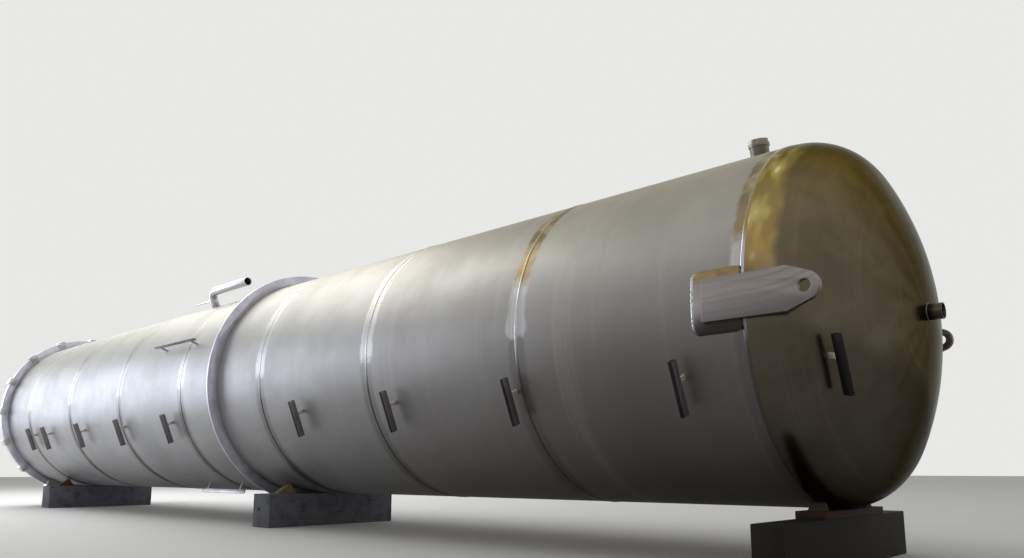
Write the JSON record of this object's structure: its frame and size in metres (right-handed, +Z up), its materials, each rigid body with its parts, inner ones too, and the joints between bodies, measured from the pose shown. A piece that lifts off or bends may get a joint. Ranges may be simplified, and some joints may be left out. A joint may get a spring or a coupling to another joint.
{
  "type": "shell and tube heat exchanger",
  "caption": "Long horizontal stainless steel heat exchanger shell with a dished head, lifting lugs, support ring, clamped end cover and insulation clips, lying on timbers",
  "frame": {"origin": "on the ground, under the middle of the bounding box", "axes": "+X runs along the shell towards the dished head with the lugs, +Z points up, and -Y is the side with the clips"},
  "size_m": [12.6232, 2.344, 2.5223],
  "materials": {
    "shell_plate": "stainless plate with its dull rolled mill finish",
    "polished_head": "spun and polished stainless",
    "weld": "ground weld bead with a straw heat tint",
    "ring_plate": "plasma cut stainless plate, dull",
    "gasket": "dark sheet gasket",
    "clamp_steel": "bright cut steel",
    "pad_plate": "stainless plate with ground edges",
    "lug_plate": "thick stainless plate, coarsely ground",
    "pipe": "drawn stainless pipe",
    "clip_plate": "cut stainless strip, dull grey",
    "grey_timber": "weathered sawn softwood",
    "brown_board": "reddish brown sawn board",
    "pale_wedge": "fresh pale softwood"
  },
  "bodies": {
    "root": {"timber_left": "grey_timber", "timber_middle": "grey_timber", "timber_right": "grey_timber", "saddle_board": "brown_board", "chocks_left": "pale_wedge", "chocks_middle": "pale_wedge", "chocks_right": "pale_wedge", "shell_course_1": "shell_plate", "shell_course_2": "shell_plate", "shell_course_3": "shell_plate", "shell_course_4": "shell_plate", "shell_course_5": "shell_plate", "shell_course_6": "shell_plate", "shell_course_7": "shell_plate", "shell_course_8": "shell_plate", "girth_welds": "weld", "dished_head": "polished_head", "support_ring": "ring_plate", "end_flange": "ring_plate", "gasket": "gasket", "cover_flange": "ring_plate", "cover_head": "polished_head", "rim_clamps": "clamp_steel", "lug_pad_near": "pad_plate", "lug_pad_far": "pad_plate", "lifting_lug_near": "lug_plate", "lifting_lug_far": "lug_plate", "top_nozzle": "pipe", "head_nozzle": "pipe", "elbow_pipe": "pipe", "bracket_upper": "clip_plate", "bracket_lower": "clip_plate", "clip_1": "clip_plate", "clip_2": "clip_plate", "clip_3": "clip_plate", "clip_4": "clip_plate", "clip_5": "clip_plate", "clip_6": "clip_plate", "clip_7": "clip_plate", "clip_8": "clip_plate", "clip_9": "clip_plate", "head_clip": "clip_plate"}
  },
  "joints": []
}
